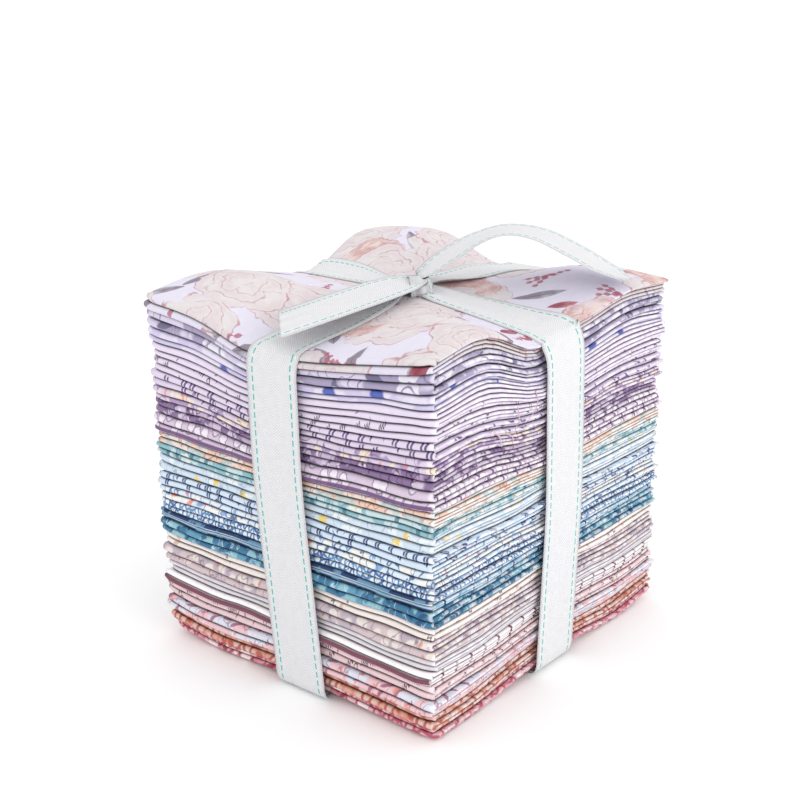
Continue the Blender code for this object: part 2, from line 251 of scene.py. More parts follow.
SPLAY_SHARE = 0.05
SPLAY_FROM = 0.2

# Soft waves that all cloths share: height and lengths along X, Y and Z in millimetres,
# and phase
WAVES = (
    (0.26, 61, 83, 37, 0.4),
    (0.20, -43, 52, 29, 2.1),
    (0.14, 33, -71, 21, 4),
    (0.10, 24, 31, -17, 1.2),
)

# Prints of the cloths: the ground colour and the layers printed over it. Colours run
# from 0 to 255, and a layer is its kind, colour, strength and that kind's own numbers,
# which are millimetres of cloth, degrees and shares. Those of SHAPES are scattered, and
# start with cell, seed, chance, turn and spread. Stripes repeat every STRIPE_PITCH.
SHAPES = ("oval", "ring", "bracket", "leaf", "flower", "squiggle")
TOP_SLOT = "cream_floral"
STRIPE_PITCH = 25.0 / 3
PRINTS = {
    "rose_sprig": ((190, 96, 114), (
        ("cells", (230, 194, 199), 0.9, 3.6, 1, 0.15),
        ("blots", (216, 142, 154), 0.8, 9, 2, 0.54, 0.06),
        ("leaf", (150, 58, 74), 0.85, 8, 3, 0.7, 0, 180, 2.6, 0.8),
        ("flower", (248, 232, 232), 0.95, 10, 4, 0.7, 0, 180, 2.8, 5, 0.25),
    )),
    "peach_floral": ((178, 104, 92), (
        ("cells", (228, 196, 184), 0.93, 3.8, 5, 0.16),
        ("blots", (222, 158, 138), 0.75, 9, 6, 0.52, 0.05),
        ("oval", (184, 92, 84), 0.85, 7, 7, 0.6, 15, 40, 2, 0.7),
    )),
    "pink_sprig": ((230, 194, 200), (
        ("blots", (214, 226, 240), 0.8, 12, 9, 0.55, 0.04),
        ("leaf", (160, 96, 124), 0.85, 6.5, 10, 0.8, 30, 90, 2.7, 0.8),
        ("oval", (232, 150, 132), 0.8, 8, 11, 0.5, 0, 180, 1.2, 0.8),
        ("lines", (150, 92, 112), 0.6, 8, 12, 0.47, 0.012),
    )),
    "pink_mark": ((230, 204, 208), (
        ("squiggle", (66, 46, 54), 0.9, 5.2, 13, 0.75, 0, 40, 1.9, 0.55, 1.1),
        ("ring", (66, 46, 54), 0.9, 8, 14, 0.4, 0, 180, 0.8, 0.35),
        ("oval", (110, 76, 88), 0.8, 4.5, 15, 0.35, 0, 180, 0.7, 0.3),
    )),
    "burgundy_stripe": ((240, 232, 236), (
        ("stripe", (250, 246, 248), 0.9, 22.5, 2.4),
        ("stripe", (116, 56, 78), 0.95, 12.1, 1.2),
    )),
    "pale_grey": ((222, 216, 221), (
        ("blots", (216, 210, 218), 0.7, 6, 16, 0.52, 0.06),
    )),
    "mauve_floral": ((210, 192, 196), (
        ("blots", (188, 176, 188), 0.9, 9, 17, 0.51, 0.05),
        ("oval", (232, 222, 216), 0.9, 7, 18, 0.7, 10, 60, 2.8, 1.4),
        ("lines", (132, 112, 128), 0.7, 9, 19, 0.5, 0.012),
        ("oval", (222, 140, 122), 0.8, 8, 20, 0.4, 0, 180, 0.8, 0.6),
    )),
    "cream_mark": ((242, 232, 227), (
        ("squiggle", (92, 80, 92), 0.85, 9, 21, 0.6, 0, 60, 2, 0.5, 1.3),
        ("oval", (214, 170, 156), 0.7, 10, 22, 0.5, 0, 180, 1.8, 0.8),
    )),
    "teal_mottle": ((104, 156, 184), (
        ("blots", (70, 118, 152), 0.95, 11, 23, 0.5, 0.05),
        ("blots", (150, 196, 208), 0.9, 9, 24, 0.57, 0.04),
        ("lines", (206, 226, 234), 0.7, 7, 25, 0.46, 0.012),
        ("oval", (46, 84, 122), 0.8, 5, 26, 0.5, 20, 90, 1.6, 0.6),
    )),
    "navy_stripe": ((176, 204, 224), (
        ("stripe", (38, 60, 106), 0.97, 22.75, 1.1),
        ("stripe", (240, 240, 240), 0.95, 21.9, 0.5),
        ("blots", (132, 178, 208), 0.6, 8, 27, 0.52, 0.05),
    )),
    "blue_net": ((106, 148, 192), (
        ("blots", (70, 108, 164), 0.8, 12, 28, 0.5, 0.05),
        ("cells", (230, 238, 246), 0.95, 2.1, 29, 0.15),
        ("lines", (42, 66, 120), 0.75, 5, 30, 0.5, 0.015),
    )),
    "blue_scroll": ((214, 228, 242), (
        ("blots", (238, 236, 230), 0.9, 11, 31, 0.53, 0.03),
        ("lines", (66, 88, 140), 0.85, 11, 31, 0.53, 0.012),
        ("lines", (64, 86, 138), 0.8, 8, 32, 0.46, 0.011),
        ("oval", (232, 128, 112), 0.8, 9, 33, 0.6, 30, 60, 2.4, 0.6),
        ("leaf", (122, 160, 206), 0.8, 7, 34, 0.6, 40, 120, 2.4, 0.9),
    )),
    "blue_sprig": ((208, 223, 240), (
        ("bracket", (44, 60, 112), 0.92, 5.8, 35, 0.85, 20, 30, 1.7, 1.2, 0.16),
        ("leaf", (92, 118, 170), 0.8, 5, 36, 0.4, 60, 60, 1.4, 0.35),
    )),
    "blue_spot": ((206, 220, 234), (
        ("flower", (236, 204, 104), 0.9, 13, 37, 0.6, 0, 180, 2.2, 5, 0.3),
        ("blots", (232, 238, 240), 0.8, 8, 38, 0.54, 0.04),
        ("oval", (52, 78, 168), 0.9, 13, 39, 0.55, 20, 90, 1.6, 0.9),
        ("lines", (120, 148, 176), 0.6, 8, 40, 0.5, 0.01),
    )),
    "aqua_floral": ((196, 218, 224), (
        ("blots", (136, 182, 192), 0.9, 9, 41, 0.51, 0.04),
        ("leaf", (78, 122, 144), 0.85, 8, 42, 0.6, 15, 80, 3, 0.9),
        ("flower", (230, 232, 224), 0.9, 11, 43, 0.6, 0, 180, 3.4, 5, 0.2),
        ("lines", (88, 116, 134), 0.6, 9, 44, 0.48, 0.011),
    )),
    "peach_bloom": ((232, 220, 214), (
        ("blots", (232, 196, 176), 0.85, 10, 45, 0.52, 0.04),
        ("oval", (150, 122, 122), 0.8, 4, 46, 0.45, 0, 180, 0.6, 0.3),
        ("lines", (170, 120, 112), 0.7, 8, 47, 0.5, 0.011),
        ("blots", (176, 204, 206), 0.7, 12, 48, 0.6, 0.03),
    )),
    "plum_stripe": ((212, 196, 214), (
        ("flower", (238, 230, 240), 0.9, 5, 49, 0.8, 0, 180, 1.7, 6, 0.25),
        ("ring", (122, 92, 134), 0.8, 5, 49, 0.8, 0, 180, 1.9, 0.3),
        ("stripe", (112, 82, 124), 0.95, 11.6, 1.1),
    )),
    "plum_floral": ((196, 178, 204), (
        ("blots", (126, 100, 142), 0.85, 12, 50, 0.46, 0.05),
        ("flower", (214, 198, 220), 0.9, 8.5, 51, 0.7, 0, 180, 2.6, 5, 0.3),
        ("oval", (232, 220, 234), 0.85, 4.5, 52, 0.4, 20, 90, 1.3, 0.5),
        ("lines", (78, 52, 92), 0.8, 7, 53, 0.5, 0.015),
    )),
    "lilac_scroll": ((216, 202, 222), (
        ("blots", (170, 146, 188), 0.9, 9, 54, 0.53, 0.03),
        ("blots", (240, 222, 204), 0.9, 10, 55, 0.585, 0.03),
        ("leaf", (112, 86, 136), 0.85, 7, 56, 0.65, 30, 120, 2.4, 0.8),
        ("oval", (234, 152, 138), 0.85, 9, 57, 0.5, 30, 90, 1.8, 0.6),
        ("lines", (108, 84, 132), 0.7, 9, 58, 0.47, 0.011),
    )),
    "lilac_sprig": ((220, 208, 228), (
        ("bracket", (84, 64, 116), 0.9, 7.5, 59, 0.85, 20, 30, 1.9, 1.5, 0.14),
        ("leaf", (140, 116, 166), 0.8, 6, 60, 0.45, 70, 60, 1.8, 0.4),
    )),
    "lilac_mark": ((224, 213, 231), (
        ("squiggle", (44, 36, 58), 0.92, 6.4, 61, 0.65, 0, 40, 1.5, 0.55, 1),
        ("ring", (44, 36, 58), 0.92, 9, 62, 0.45, 0, 180, 0.7, 0.4),
    )),
    "lilac_dot": ((226, 215, 233), (
        ("oval", (96, 84, 122), 0.7, 7, 63, 0.3, 0, 180, 0.7, 0.25),
    )),
    "lilac_blot": ((224, 218, 234), (
        ("blots", (196, 188, 222), 0.7, 12, 64, 0.5, 0.08),
        ("oval", (58, 84, 176), 0.9, 26, 65, 0.9, 10, 40, 3.6, 2.2),
        ("oval", (126, 160, 214), 0.8, 26, 66, 0.7, 10, 40, 4.4, 2.4),
        ("oval", (40, 44, 80), 0.8, 12, 67, 0.25, 0, 180, 0.9, 0.4),
    )),
    "lavender_floral": ((214, 206, 226), (
        ("blots", (160, 152, 180), 0.9, 15, 68, 0.48, 0.06),
        ("leaf", (112, 106, 134), 0.9, 15, 69, 0.75, 10, 60, 6.4, 2.2),
        ("flower", (232, 228, 238), 0.9, 19, 70, 0.75, 0, 180, 6, 5, 0.2),
        ("ring", (126, 116, 150), 0.85, 19, 70, 0.75, 0, 180, 3.6, 0.5),
        ("lines", (120, 110, 146), 0.8, 16, 71, 0.47, 0.007),
    )),
    "cream_floral": ((219, 215, 229), ()),
}

# How prints are drawn: soft edges in millimetres or shares, half a thin line, how far
# motifs stray from an even grid, and each pattern's shift from seed to seed
SOFT_EDGE = 0.25
OVAL_SOFT = 0.3
CELL_SOFT = 0.12
STROKE = 0.42
MOTIF_SPREAD = 0.7
NOISE_START = (137, 61)
MOTIF_START = (3.7, 8.3)
CELL_START = (31, 17)

# Painted shade in the creases, where CREASE_SHADE of the light is taken out of the colour,
# white slices on the fold at the right edge, where FOLD_SHADE of it is, and the weave
CREASE_REACH = 0.0009
CREASE_POWER = 1.5
CREASE_SAMPLES = 6
CREASE_SHADE = 0.8
FOLD_PLACE = 69.3
FOLD_SHADE = 0.6
SLICE_REACH = 1.3
SLICE_SOFT = 1.0
SLICE_BLOTS = (5.0, 95, 0.52, 0.03)
SLICE_COLOUR = (250, 247, 251)
SLICE_STRENGTH = 0.45
WEAVE_PITCH = 0.42
WEAVE_DEPTH = 0.00002
MOTTLE = 0.05
MOTTLE_NOISE = (3.0, 90, 4.0)
CLOTH_ROUGHNESS = 0.85
CLOTH_SHINE = 0.15

# Print of the top cloth: large flowers, leaves and sprigs. Each row of the three starts
# with cell, seed, chance and size, and 1 in the last place means orange or rosy.
PETAL_ROWS = (
    # share of the radius, petals, phase, lobe depth
    (1.00, 5, 0, 0.16),
    (0.74, 5, 1.1, 0.20),
    (0.50, 4, 2.3, 0.22),
    (0.27, 3, 0.7, 0.25),
)
BLOOMS = (
    (52, 104, 0.95, 22, 0),
    (61, 107, 0.4, 17, 1),
    (50, 117, 0.85, 19, 0),
)
TOP_LEAVES = (
    (26, 111, 0.85, 11, 0),
    (34, 112, 0.7, 6, 1),
)
SPRIGS = (30.0, 113, 0.85, 10.0)
SPRIG_TWIGS = (
    # degrees, share of the size
    (0, 1),
    (26, 0.7),
    (-30, 0.6),
)

# Strengths and widths of the top print. PETAL_STRENGTHS and LEAF_SLIMNESS start with the
# pale kind's, and a band is its middle, half its width and its soft edge, or the last two.
TOP_SPREAD = 0.55
TOP_WOBBLE = (7.0, 81)
WOBBLE_DEPTH = 3.5
TOP_WASH = (9.0, 82)
WASH_GAIN = 4.0
WASH_LEVEL = 0.3
PETAL_STRENGTHS = (0.92, 0.6)
BLUSH_BAND = (2.4, 1.2, 3.0)
BLUSH_STRENGTH = 0.7
OUTLINE_BAND = (0.28, 0.35)
OUTLINE_STRENGTH = (0.35, 0.5)
LEAF_SLIMNESS = (0.24, 0.45)
LEAF_STRENGTH = 0.8
LEAF_WASH = 0.7
VEIN_WIDTH = 0.3
BEADS = (1.25, 3.3)
STEM_WIDTH = 0.25
STEM_STRENGTH = 0.6
PETAL_COLOUR = (218, 212, 213)
BLUSH_COLOUR = (210, 194, 199)
OUTLINE_COLOUR = (184, 134, 142)
ORANGE_COLOUR = (222, 202, 197)
ORANGE_OUTLINE = (184, 120, 118)
ROSE_DARK = (136, 60, 74)
LEAF_COLOUR = (180, 176, 184)
LEAF_DARK = (118, 106, 122)
SPRIG_COLOUR = (178, 92, 108)

# Ribbon tape's look; TAPE_SHADE is the painted shade between the twill ribs
TAPE_COLOUR = (232, 232, 233)
TAPE_SHADE = (210, 210, 213)
STITCH_COLOUR = (78, 184, 176)
STITCH_LINE = 9.5
STITCH_WIDTH = 0.65
STITCH_PITCH = 3.5
STITCH_SHARE = 0.65
TWILL_PITCH = 1.1
TWILL_COLUMN = 3.6
TWILL_DEPTH = 0.00006

# Camera, from the fit to the photograph
CAMERA_PLACE = (0.3314, -0.4081, 0.2637)
CAMERA_LOOK = (-0.60862, 0.73346, -0.30269)
CAMERA_ROLL = -0.52
CAMERA_LENS = 60.65
SENSOR_WIDTH = 36.0
CAMERA_RANGE = (0.01, 20.0)

# Studio
WORLD_STRENGTH = 1.17
KEY_PLACE = (1.4, -0.1, 0.55)
KEY_TARGET = (0.0, 0.0, 0.08)
KEY_SIZE = 0.6
KEY_COLOUR = (1.0, 0.99, 0.97)
KEY_POWER = 4.1
FLOOR_SIZE = 50.0
FLOOR_COLOUR = (0.97, 0.97, 0.97, 1.0)


def smooth_read(places, values, at):
    """Read a curve through given values, smooth at every one of them."""
    places = np.asarray(places, float)
    values = np.asarray(values, float)
    at = np.clip(at, places[0], places[-1])
    index = np.clip(np.searchsorted(places, at, side="right") - 1, 0, len(places) - 2)
    slopes = np.empty_like(values)
    slopes[0] = (values[1] - values[0]) / (places[1] - places[0])
    slopes[-1] = (values[-1] - values[-2]) / (places[-1] - places[-2])
    for k in range(1, len(places) - 1):
        slopes[k] = (values[k + 1] - values[k - 1]) / (places[k + 1] - places[k - 1])
    span = places[index + 1] - places[index]
    t = (at - places[index]) / span
    if values.ndim == 1:
        v0, v1, s0, s1 = values[index], values[index + 1], slopes[index], slopes[index + 1]
    else:
        column = np.arange(values.shape[1])
        v0, v1 = values[index, column], values[index + 1, column]
        s0, s1 = slopes[index, column], slopes[index + 1, column]
    rise = (2 * t**3 - 3 * t**2 + 1) * v0 + (3 * t**2 - 2 * t**3) * v1
    return rise + (t**3 - 2 * t**2 + t) * span * s0 + (t**3 - t**2) * span * s1


def relief_at(table, x, y):
    """Read a relief table smoothly, in metres."""
    across = 2 * x / STACK_WIDTH
    along = 2 * y / STACK_DEPTH
    rows = np.array([smooth_read(RELIEF_PLACES, row, across) for row in table])
    return smooth_read(RELIEF_PLACES, rows, along) * MM


def waves_at(x, y, z):
    """Give the soft waves' height."""
    total = np.zeros_like(x)
    for height, length_x, length_y, length_z, phase in WAVES:
        angle = x / length_x + y / length_y + z / length_z
        total += height * MM * np.sin(angle * 2 * math.pi / MM + phase)
    return total


def draped(x, y, z):
    """Move a height in the plain stack to where the tied stack has it."""
    level = z / STACK_HEIGHT
    above = np.clip((level - TOP_RELIEF_FROM) / (1 - TOP_RELIEF_FROM), 0, RELIEF_MOST)
    below = np.clip(1 - level / BOTTOM_RELIEF_TO, 0, 1)
    inside = np.minimum(STACK_WIDTH / 2 - np.abs(x), STACK_DEPTH / 2 - np.abs(y))
    near_top = np.clip(level * EDGE_DROOP_RAMP - (EDGE_DROOP_RAMP - 1), 0, 1)
    droop = EDGE_DROOP * np.clip(1 - inside / EDGE_DROOP_REACH, 0, 1) ** 2 * near_top
    fade = np.clip(np.minimum(level, 1 - level) * WAVE_RAMP, 0, 1)
    lift = relief_at(TOP_RELIEF, x, y) * above**RELIEF_POWER
    lift += relief_at(BOTTOM_RELIEF, x, y) * below**RELIEF_POWER
    return z + lift - droop + waves_at(x, y, z) * fade


def pinched(y, z):
    """Give the share by which the left and right loop draws the stack's top in."""
    near_top = np.clip((z / STACK_HEIGHT - PINCH_FROM) / (1 - PINCH_FROM), 0, 1) ** 2
    return 1 - PINCH_SHARE * near_top * np.exp(-((y / PINCH_REACH) ** 2))


def splay(x, y, z):
    """Give how far the free corners on the left lean out, more and more to the top."""
    left = np.clip(-2 * x / STACK_WIDTH, 0, 1) ** 3
    away = np.clip(2 * np.abs(y) / STACK_DEPTH - SPLAY_FROM, 0, 1)
    return -SPLAY_SHARE * STACK_WIDTH / 2 * left * away * np.clip(z / STACK_HEIGHT, 0, 1)


def new_object(name, data):
    """Make an object and put it into the scene."""
    made = bpy.data.objects.new(name, data)
    bpy.context.scene.collection.objects.link(made)
    return made


def add_grid(name, points, flat):
    """Make a mesh from rows of points, with flat cloth coordinates as its UV map."""
    rows, columns = points.shape[:2]
    corner = np.arange(rows * columns).reshape(rows, columns)
    quads = np.stack(
        (corner[:-1, :-1], corner[:-1, 1:], corner[1:, 1:], corner[1:, :-1]), axis=-1
    ).reshape(-1, 4)
    mesh = bpy.data.meshes.new(name)
    mesh.from_pydata(points.reshape(-1, 3).tolist(), [], quads.tolist())
    layer = mesh.uv_layers.new(name="flat")
    loops = np.empty(len(mesh.loops), int)
    mesh.loops.foreach_get("vertex_index", loops)
    layer.data.foreach_set("uv", flat.reshape(-1, 2)[loops].ravel())
    mesh.shade_smooth()
    return new_object(name, mesh)


def thicken(piece, thickness):
    """Give a sheet its thickness, evenly to both sides."""
    modifier = piece.modifiers.new("thickness", "SOLIDIFY")
    modifier.thickness = thickness
    modifier.offset = 0.0


def join_pieces(pieces):
    """Give every piece its thickness for good and join all to the first."""
    for piece in pieces:
        bpy.context.view_layer.objects.active = piece
        for modifier in list(piece.modifiers):
            bpy.ops.object.modifier_apply(modifier=modifier.name)
    with bpy.context.temp_override(
        active_object=pieces[0], selected_editable_objects=pieces, selected_objects=pieces
    ):
        bpy.ops.object.join()


def crowded(count):
    """Give even shares from 0 to 1, crowded towards both ends."""
    even = np.linspace(0.0, 1.0, count + 1)
    return even - END_CROWDING * np.sin(2 * math.pi * even) / (2 * math.pi)


def path_length(path):
    """Give the length along a path of points in a plane."""
    steps = np.hypot(np.diff(path[:, 0]), np.diff(path[:, 1]))
    return np.concatenate(([0.0], np.cumsum(steps)))


def strip_path(fronts, backs, levels, steps):
    """Give the middle line of the folded strips, from the top strip's back end down.

    Each point has its y, z, the normal's y and z, and the strip's number from the top,
    with halves at the folds. The normal points up on the top strip and outwards on the
    front folds.
    """
    points = []
    for step, level in enumerate(levels):
        forward = step % 2 == 0
        start, end = (backs[step], fronts[step]) if forward else (fronts[step], backs[step])
        facing = 1.0 if forward else -1.0
        for share in crowded(steps):
            points.append((start + (end - start) * share, level, 0.0, facing, step))
        if step == len(levels) - 1:
            break
        radius = (level - levels[step + 1]) / 2
        for turn in np.linspace(0.0, math.pi, FOLD_STEPS + 2)[1:-1]:
            y = end - facing * radius * math.sin(turn)
            z = level - radius + radius * math.cos(turn)
            points.append((y, z, -math.sin(turn), facing * math.cos(turn), step + 0.5))
    path = np.array(points)
    return path, path_length(path)


def ply_path(left, right, spacing, steps):
    """Give the way across the three plies, as x and the height over the strip's middle.

    The first third lies inside, the base lies under it, and the last third lies over it,
    round a fold at the right edge. The length is counted from that fold.
    """
    small = spacing / 2
    shares = crowded(steps)
    turns = np.linspace(0.0, math.pi, PLY_FOLD_STEPS + 2)[1:-1]
    inner_left = left + small
    inner_right = right - spacing
    inner_edge = inner_right - 2 * small
    points = [(inner_edge + (inner_left - inner_right + 2 * small) * s, 0.0) for s in shares]
    points += [(inner_left - small * math.sin(t), -small + small * math.cos(t)) for t in turns]
    points += [(inner_left + (inner_right - inner_left) * s, -spacing) for s in shares]
    points += [(inner_right + spacing * math.sin(t), -spacing * math.cos(t)) for t in turns]
    points += [(inner_right + (left + 2 * small - inner_right) * s, spacing) for s in shares]
    path = np.array(points)
    length = path_length(path)
    fold = 2 * len(shares) + len(turns)
    return path, length - length[fold]


def soft_noise(random, places, length):
    """Give a smooth random line from 0 to 1 over places."""
    total = np.zeros_like(places)
    for part in range(NOISE_WAVES):
        phase = random.uniform(0, 2 * math.pi)
        total += np.sin(places / length * (1.0 + NOISE_QUICKER * part) * 2 * math.pi + phase)
    return np.clip(0.5 + total / NOISE_RANGE, 0.0, 1.0)


def corner_recess(x, left, right, rounding):
    """Give how far a fold draws back towards both its ends."""
    near = np.minimum(x - left, right - x)
    return rounding * np.clip(1 - near / CORNER_REACH, 0, 1) ** 2


def strip_levels(index, random):
    """Give the heights of a cloth's strips, from the top down, and the cloth's height."""
    bottom = CLOTH_TOPS[index - 1] * MM if index else 0.0
    height = CLOTH_TOPS[index] * MM - bottom
    split = 0.5 + SPLIT_SPREAD * random.uniform(-1, 1)
    pitches = np.array([split / 2, 1 / STRIPS, (1 - split) / 2])
    top_level = bottom + height * (1 - split / STRIPS)
    return top_level - height * np.concatenate(([0.0], np.cumsum(pitches))), height


def strip_ends(front, back, reach, random):
    """Give the front and back ends of the strips' middle lines, from the top down."""
    folds = random.uniform(0, 1, 5)
    upper_front = front + reach + FOLD_STAGGER * folds[0]
    lower_front = front + reach + FOLD_STAGGER * folds[1]
    back_fold = back - reach - FOLD_STAGGER * folds[2]
    fronts = (upper_front, upper_front, lower_front, lower_front)
    backs = (back - reach * folds[3], back_fold, back_fold, back - reach * folds[4])
    return fronts, backs


def press_folds(y, z, strip, levels, across, sides, front, random):
    """Squash the two front folds unevenly and draw their ends back."""
    near_front = np.clip(1 - (y - front) / SQUASH_REACH, 0, 1) ** 2
    for first in (0, 2):
        pair = ((strip >= first) & (strip <= first + 1))[:, None]
        middle = (levels[first] + levels[first + 1]) / 2
        uneven = soft_noise(random, across, SQUASH_LENGTH)[None, :]
        squash = SQUASH_DEPTH * uneven * near_front
        z = np.where(pair, middle + (z - middle) * (1 - squash), z)
        rounding = random.uniform(*CORNER_ROUNDING)
        recess = corner_recess(across, *sides, rounding)[None, :] * near_front
        y = np.where(pair, y + recess, y)
    return y, z


def build_cloth(node, index, random):
    """Fold one sheet and drape it into its place in the stack."""
    low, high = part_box(node)
    levels, height = strip_levels(index, random)
    spacing = PLY_SHARE * height / STRIPS
    reach = spacing + height / STRIPS / 2 + SHEET_THICKNESS / 2
    fronts, backs = strip_ends(low.y, high.y, reach, random)
    finer = FINE_SHARE if index >= FINE_FROM else 1.0
    path, along = strip_path(fronts, backs, levels, round(STRIP_STEPS * finer))
    middle_y, middle_z, normal_y, normal_z, strip = path.T
    sides = (low.x + SIDE_MARGIN, high.x - SIDE_MARGIN)
    plies, across = ply_path(*sides, spacing, round(WIDTH_STEPS * finer))
    shifts = STRIP_STAGGER * random.uniform(-1, 1, STRIPS)
    shift = np.interp(strip, np.arange(STRIPS), shifts)
    phase = random.uniform(0, 2 * math.pi)
    shift = shift + EDGE_WAVE * np.sin(middle_y / EDGE_WAVE_REACH + phase)
    x = plies[:, 0][None, :] + shift[:, None]
    y = middle_y[:, None] + plies[:, 1][None, :] * normal_y[:, None]
    z = middle_z[:, None] + plies[:, 1][None, :] * normal_z[:, None]
    y, z = press_folds(y, z, strip, levels, plies[:, 0], sides, low.y, random)
    lifted = draped(x.ravel(), y.ravel(), z.ravel()).reshape(x.shape)
    points = np.stack((x * pinched(y, z) + splay(x, y, z), y, lifted), axis=-1)
    flat = np.empty(x.shape + (2,))
    flat[..., 0] = (sides[1] - across)[None, :]
    flat[..., 1] = (backs[0] - along)[:, None]
    piece = add_grid(node + "_cloth", points, flat)
    thicken(piece, SHEET_THICKNESS)
    return piece


def add_threads(cloth, face):
    """Join the loose threads to the cloth that they hang from."""
    turns = np.linspace(0.0, 2 * math.pi, THREAD_SIDES + 1)
    strands = []
    for thread in THREADS:
        rows = np.array(thread)
        places = np.arange(len(rows), dtype=float)
        steps = np.linspace(0, places[-1], THREAD_STEPS + 1)
        line = np.array([smooth_read(places, rows, at) for at in steps]) * MM
        points = np.empty((len(line), len(turns), 3))
        points[..., 0] = face + line[:, 2][:, None] + THREAD_RADIUS * np.cos(turns)[None, :]
        points[..., 1] = line[:, 0][:, None] + THREAD_RADIUS * np.sin(turns)[None, :]
        points[..., 2] = line[:, 1][:, None] + THREAD_RADIUS * np.sin(turns)[None, :]
        flat = np.zeros(points.shape[:2] + (2,))
        strands.append(add_grid("thread", points, flat))
    join_pieces([cloth, *strands])


def cloth_top(x, y):
    """Give the height of the top face over places given in metres."""
    top = np.full_like(x, CLOTH_TOPS[-1] * MM)
    return draped(x / pinched(y, top), y, top)


def follow(stations):
    """Run a smooth line through stations and read it in even short steps."""
    rows = np.array([station + (0.0,) * (STATION_SIZE - len(station)) for station in stations])
    chords = np.linalg.norm(np.diff(rows[:, :3], axis=0), axis=1)
    places = np.concatenate(([0.0], np.cumsum(np.sqrt(chords))))
    reads = np.linspace(0, places[-1], LINE_STEPS * len(rows))
    fine = np.array([smooth_read(places, rows, place) for place in reads])
    runs = np.linalg.norm(np.diff(fine[:, :3], axis=0), axis=1)
    length = np.concatenate(([0.0], np.cumsum(runs)))
    wanted = np.linspace(0.0, length[-1], round(length[-1] / TAPE_STEP))
    line = np.stack([np.interp(wanted, length, column) for column in fine.T], axis=1)
    return line, wanted


def lift_to_top(points):
    """Lift the points of a tape that lie over the top cloth onto it."""
    x, y, z = points[..., 0], points[..., 1], points[..., 2]
    half = STACK_WIDTH / 2 * pinched(y, np.full_like(y, STACK_HEIGHT)) + RIM_COVER
    over = (z > STACK_HEIGHT * TOP_FROM) & (np.abs(x) < half) & (np.abs(y) < STACK_DEPTH / 2)
    rest = cloth_top(x.ravel(), y.ravel()).reshape(x.shape) + TAPE_CLEARANCE
    points[..., 2] = np.where(over, np.maximum(z, rest), z)


def build_tape(stations, base_turn, hugging=False):
    """Make a stretch of tape from stations in millimetres.

    The pleat is the height of the gathers across the tape, the tilt lifts its far edge, the
    skew runs that edge ahead, and the turn, with the base turn, is the angle of its width
    from +X. Tilt and turns are in degrees.
    """
    line, length = follow(stations)
    across = np.linspace(-0.5, 0.5, TAPE_ACROSS + 1)
    turn = np.radians(line[:, 7] + base_turn)
    tilt = np.radians(line[:, 5])
    level = np.cos(tilt)
    wide = np.stack((np.cos(turn) * level, np.sin(turn) * level, np.sin(tilt)), axis=1)
    ahead = np.gradient(line[:, :3], axis=0)
    ahead /= np.linalg.norm(ahead, axis=1)[:, None]
    normal = np.cross(ahead, wide)
    normal /= np.linalg.norm(normal, axis=1)[:, None]
    gathers = np.cos(across * 2 * math.pi * PLEATS)
    points = line[:, None, :3]
    for way, sizes in (
        (wide, line[:, 3][:, None] * across[None, :]),
        (ahead, line[:, 6][:, None] * across[None, :] * 2),
        (normal, line[:, 4][:, None] * gathers[None, :]),
    ):
        points = points + way[:, None, :] * sizes[..., None]
    points = points * MM
    if hugging:
        lift_to_top(points)
    flat = np.empty(points.shape[:2] + (2,))
    flat[..., 0] = length[:, None] * MM
    flat[..., 1] = across[None, :] * TAPE_WIDTH
    piece = add_grid("tape", points, flat)
    thicken(piece, TAPE_THICKNESS)
    return piece


def build_knot_heart():
    """Make the gathered lump that the knot is tied round."""
    level = np.linspace(0.0, math.pi, HEART_RINGS + 1)[:, None]
    turn = np.linspace(0.0, 2 * math.pi, HEART_SPOKES + 1)[None, :]
    gathers = 1.0 + HEART_CREASE * np.cos(HEART_CREASES * turn) * np.sin(level)
    wide = gathers * np.sin(level)
    sides = np.broadcast_arrays(wide * np.cos(turn), wide * np.sin(turn), np.cos(level))
    points = (HEART_PLACE + np.stack(sides, axis=-1) * HEART_RADII) * MM
    flat = np.broadcast_arrays(turn * HEART_FLAT[0], level * HEART_FLAT[1])
    return add_grid("knot_heart", points, np.stack(flat, axis=-1))


def build_ribbon():
    """Make the ribbon: two loops round the stack, the knot and two tails, as one piece."""
    parts = [
        build_tape(LOOP_FRONT_TO_BACK, 0, True),
        build_tape(LOOP_LEFT_TO_RIGHT, 90, True),
        build_tape(FRONT_TAIL, 0),
        build_tape(BACK_TAIL, 0),
        build_tape(KNOT_WRAP, 40),
        build_knot_heart(),
    ]
    join_pieces(parts)
    parts[0].name = "ribbon_tape"
    return parts[0]


def tone(colour):
    """Turn a colour as seen, from 0 to 255, into light for the shaders."""
    seen = np.array(colour) / 255.0
    light = np.where(seen <= 0.04045, seen / 12.92, ((seen + 0.055) / 1.055) ** 2.4)
    return (*light.tolist(), 1.0)


def start(shift, seed):
    """Give where a seed's own patch of a pattern starts."""
    return shift[0] * seed, shift[1] * seed, 0.0


